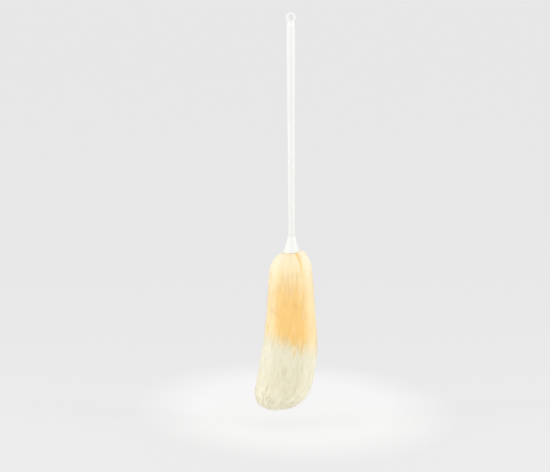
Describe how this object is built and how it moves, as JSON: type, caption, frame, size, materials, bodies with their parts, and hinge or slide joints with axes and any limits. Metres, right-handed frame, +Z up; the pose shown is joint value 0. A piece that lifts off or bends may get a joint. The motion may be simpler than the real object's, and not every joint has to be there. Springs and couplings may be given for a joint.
{
  "type": "lambswool duster",
  "caption": "Hand duster with a slim tapered plastic handle, a hanging eye, a flared ferrule and a long soft head of wound lambswool, dyed yellow above and natural cream below.",
  "frame": {"origin": "middle of the hole of the hanging eye at the top of the handle", "axes": "+Z up along the handle, +Y along the eye's hole towards the back, +X across the eye"},
  "size_m": [0.1039, 0.095, 0.659],
  "materials": {
    "white_plastic": "smooth glossy white moulding",
    "core_wood": "plain turned beech, unvarnished",
    "lambskin": "tanned skin side of the lambskin, matt",
    "tack_steel": "plain bright wire and tacks",
    "dyed_wool": "soft matt fleece dyed warm yellow, paler at the roots",
    "natural_wool": "soft matt undyed cream fleece"
  },
  "bodies": {
    "root": {"hanging_eye_cap": "white_plastic", "handle_tube": "white_plastic", "ferrule": "white_plastic", "core_dowel": "core_wood", "handle_pin": "tack_steel", "dyed_hide_strip": "lambskin", "dyed_wool_pile": "dyed_wool", "natural_hide_strip": "lambskin", "natural_wool_pile": "natural_wool", "ferrule_end_tack_1": "tack_steel", "ferrule_end_tack_2": "tack_steel", "tip_end_tack_1": "tack_steel", "tip_end_tack_2": "tack_steel", "tip_hide_disc": "lambskin", "tip_tack": "tack_steel", "tip_wool_tuft": "natural_wool"}
  },
  "joints": []
}
